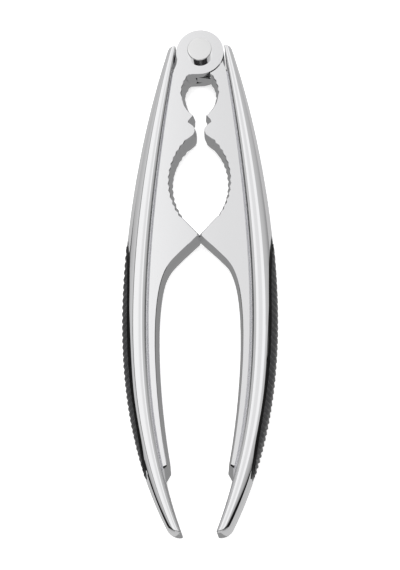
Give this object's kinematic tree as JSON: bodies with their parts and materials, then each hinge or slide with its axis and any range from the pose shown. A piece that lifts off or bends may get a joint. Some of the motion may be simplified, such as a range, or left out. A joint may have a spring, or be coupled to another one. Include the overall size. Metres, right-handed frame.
{
  "type": "nutcracker",
  "caption": "Hinged hand nutcracker with two chromed arms, toothed small and large nut openings, rounded handle rails and ribbed black side grips.",
  "frame": {"origin": "on the hinge axis, in the plane the closed nutcracker rests on when laid on its back: the rear face of the pivot cap", "axes": "+Z is the hinge axis and points out of the front face; +Y runs from the tips to the hinge end; +X is across, with the tongued arm on +X"},
  "size_m": [0.0544, 0.1828, 0.0154],
  "materials": {
    "jaw_chrome": "polished",
    "shell_chrome": "polished",
    "pin_chrome": "polished",
    "carrier_plastic": "satin",
    "grip_rubber": "matte",
    "screw_steel": "zinc plated",
    "washer_steel": "dark"
  },
  "bodies": {
    "left_arm": {"left_jaw": "jaw_chrome", "left_handle_shell": "shell_chrome", "left_grip_carrier": "carrier_plastic", "left_grip_pad": "grip_rubber", "left_shell_screw_1": "screw_steel", "left_shell_screw_2": "screw_steel", "left_shell_screw_3": "screw_steel", "pivot_pin": "pin_chrome", "pivot_cap": "pin_chrome", "rear_washer": "washer_steel", "front_washer": "washer_steel"},
    "right_arm": {"right_jaw": "jaw_chrome", "right_handle_shell": "shell_chrome", "right_grip_carrier": "carrier_plastic", "right_grip_pad": "grip_rubber", "right_shell_screw_1": "screw_steel", "right_shell_screw_2": "screw_steel", "right_shell_screw_3": "screw_steel"}
  },
  "joints": [
    {"name": "pivot", "type": "hinge", "parent": "left_arm", "child": "right_arm", "pos_m": [0, 0, 0.007], "axis": [0, 0, 1], "range_deg": [0, 140]}
  ]
}
